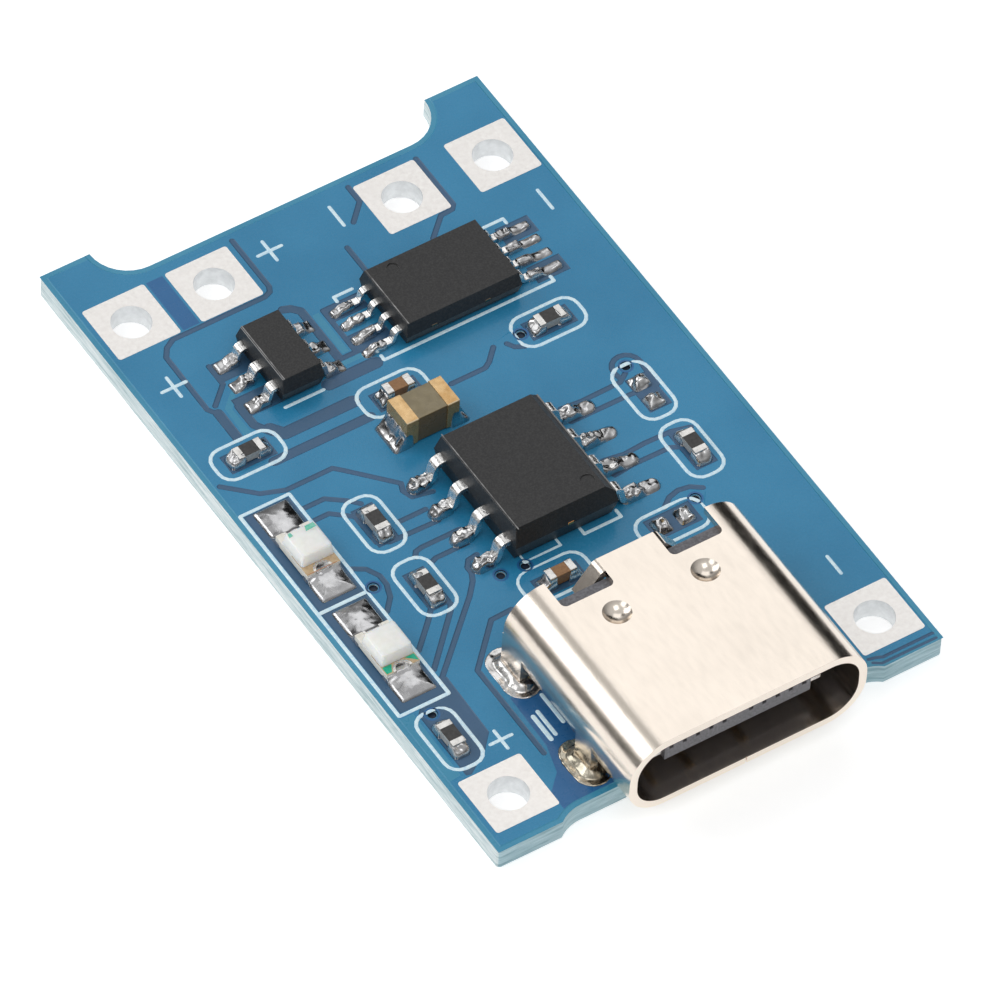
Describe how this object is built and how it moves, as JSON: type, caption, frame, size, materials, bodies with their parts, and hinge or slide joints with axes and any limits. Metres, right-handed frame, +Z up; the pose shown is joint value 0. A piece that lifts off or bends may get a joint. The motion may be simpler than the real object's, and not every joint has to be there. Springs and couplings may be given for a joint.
{
  "type": "battery charger module",
  "caption": "Blue charger board for a lithium cell, with a USB-C socket, surface-mounted chips, status LEDs and square tinned wire pads with plated holes.",
  "frame": {"origin": "under the middle of the module's box, on the plane that the board's underside rests on", "axes": "+X across the board, +Y from the socket's mouth toward the cell pads, +Z up out of the side that carries the parts"},
  "size_m": [0.0168, 0.0284, 0.004],
  "materials": {
    "solder_mask_board": "blue solder mask over copper and glass fibre",
    "tinned_pad": "tinned copper, finely grained",
    "nickel_shell": "satin nickel on stamped sheet steel",
    "socket_plastic": "dark moulded plastic",
    "latch_steel": "plain stainless sheet",
    "gold_contact": "thin gold over copper alloy",
    "solder": "bright tin solder",
    "chip_plastic": "charcoal moulding compound",
    "tinned_lead": "matt tin over copper",
    "capacitor_tan": "fired tan ceramic",
    "capacitor_brown": "fired brown ceramic",
    "resistor_coat": "black glaze over white ceramic",
    "led_base": "tan laminate",
    "led_lens": "milky clear resin"
  },
  "bodies": {
    "root": {"c1_body": "capacitor_tan", "c1_ends": "tinned_lead", "c2_body": "capacitor_brown", "c2_ends": "tinned_lead", "c3_body": "capacitor_brown", "c3_ends": "tinned_lead", "capacitor_solder": "solder", "charger_chip_body": "chip_plastic", "charger_chip_leads": "tinned_lead", "charger_chip_solder": "solder", "empty_site_solder": "solder", "guard_chip_body": "chip_plastic", "guard_chip_leads": "tinned_lead", "guard_chip_solder": "solder", "led_1_base": "led_base", "led_1_ends": "tinned_lead", "led_1_lens": "led_lens", "led_2_base": "led_base", "led_2_ends": "tinned_lead", "led_2_lens": "led_lens", "led_solder": "solder", "pad_cell_minus": "tinned_pad", "pad_cell_plus": "tinned_pad", "pad_in_minus": "tinned_pad", "pad_in_plus": "tinned_pad", "pad_out_minus": "tinned_pad", "pad_out_plus": "tinned_pad", "printed_board": "solder_mask_board", "r1_body": "resistor_coat", "r1_ends": "tinned_lead", "r2_body": "resistor_coat", "r2_ends": "tinned_lead", "r3_body": "resistor_coat", "r3_ends": "tinned_lead", "r5_body": "resistor_coat", "r5_ends": "tinned_lead", "r6_body": "resistor_coat", "r6_ends": "tinned_lead", "r8_body": "resistor_coat", "r8_ends": "tinned_lead", "resistor_solder": "solder", "switch_chip_body": "chip_plastic", "switch_chip_leads": "tinned_lead", "switch_chip_solder": "solder", "usb_contacts": "gold_contact", "usb_insulator": "socket_plastic", "usb_latch_plate": "latch_steel", "usb_leg_solder": "solder", "usb_shell": "nickel_shell", "usb_tail_solder": "solder"}
  },
  "joints": []
}
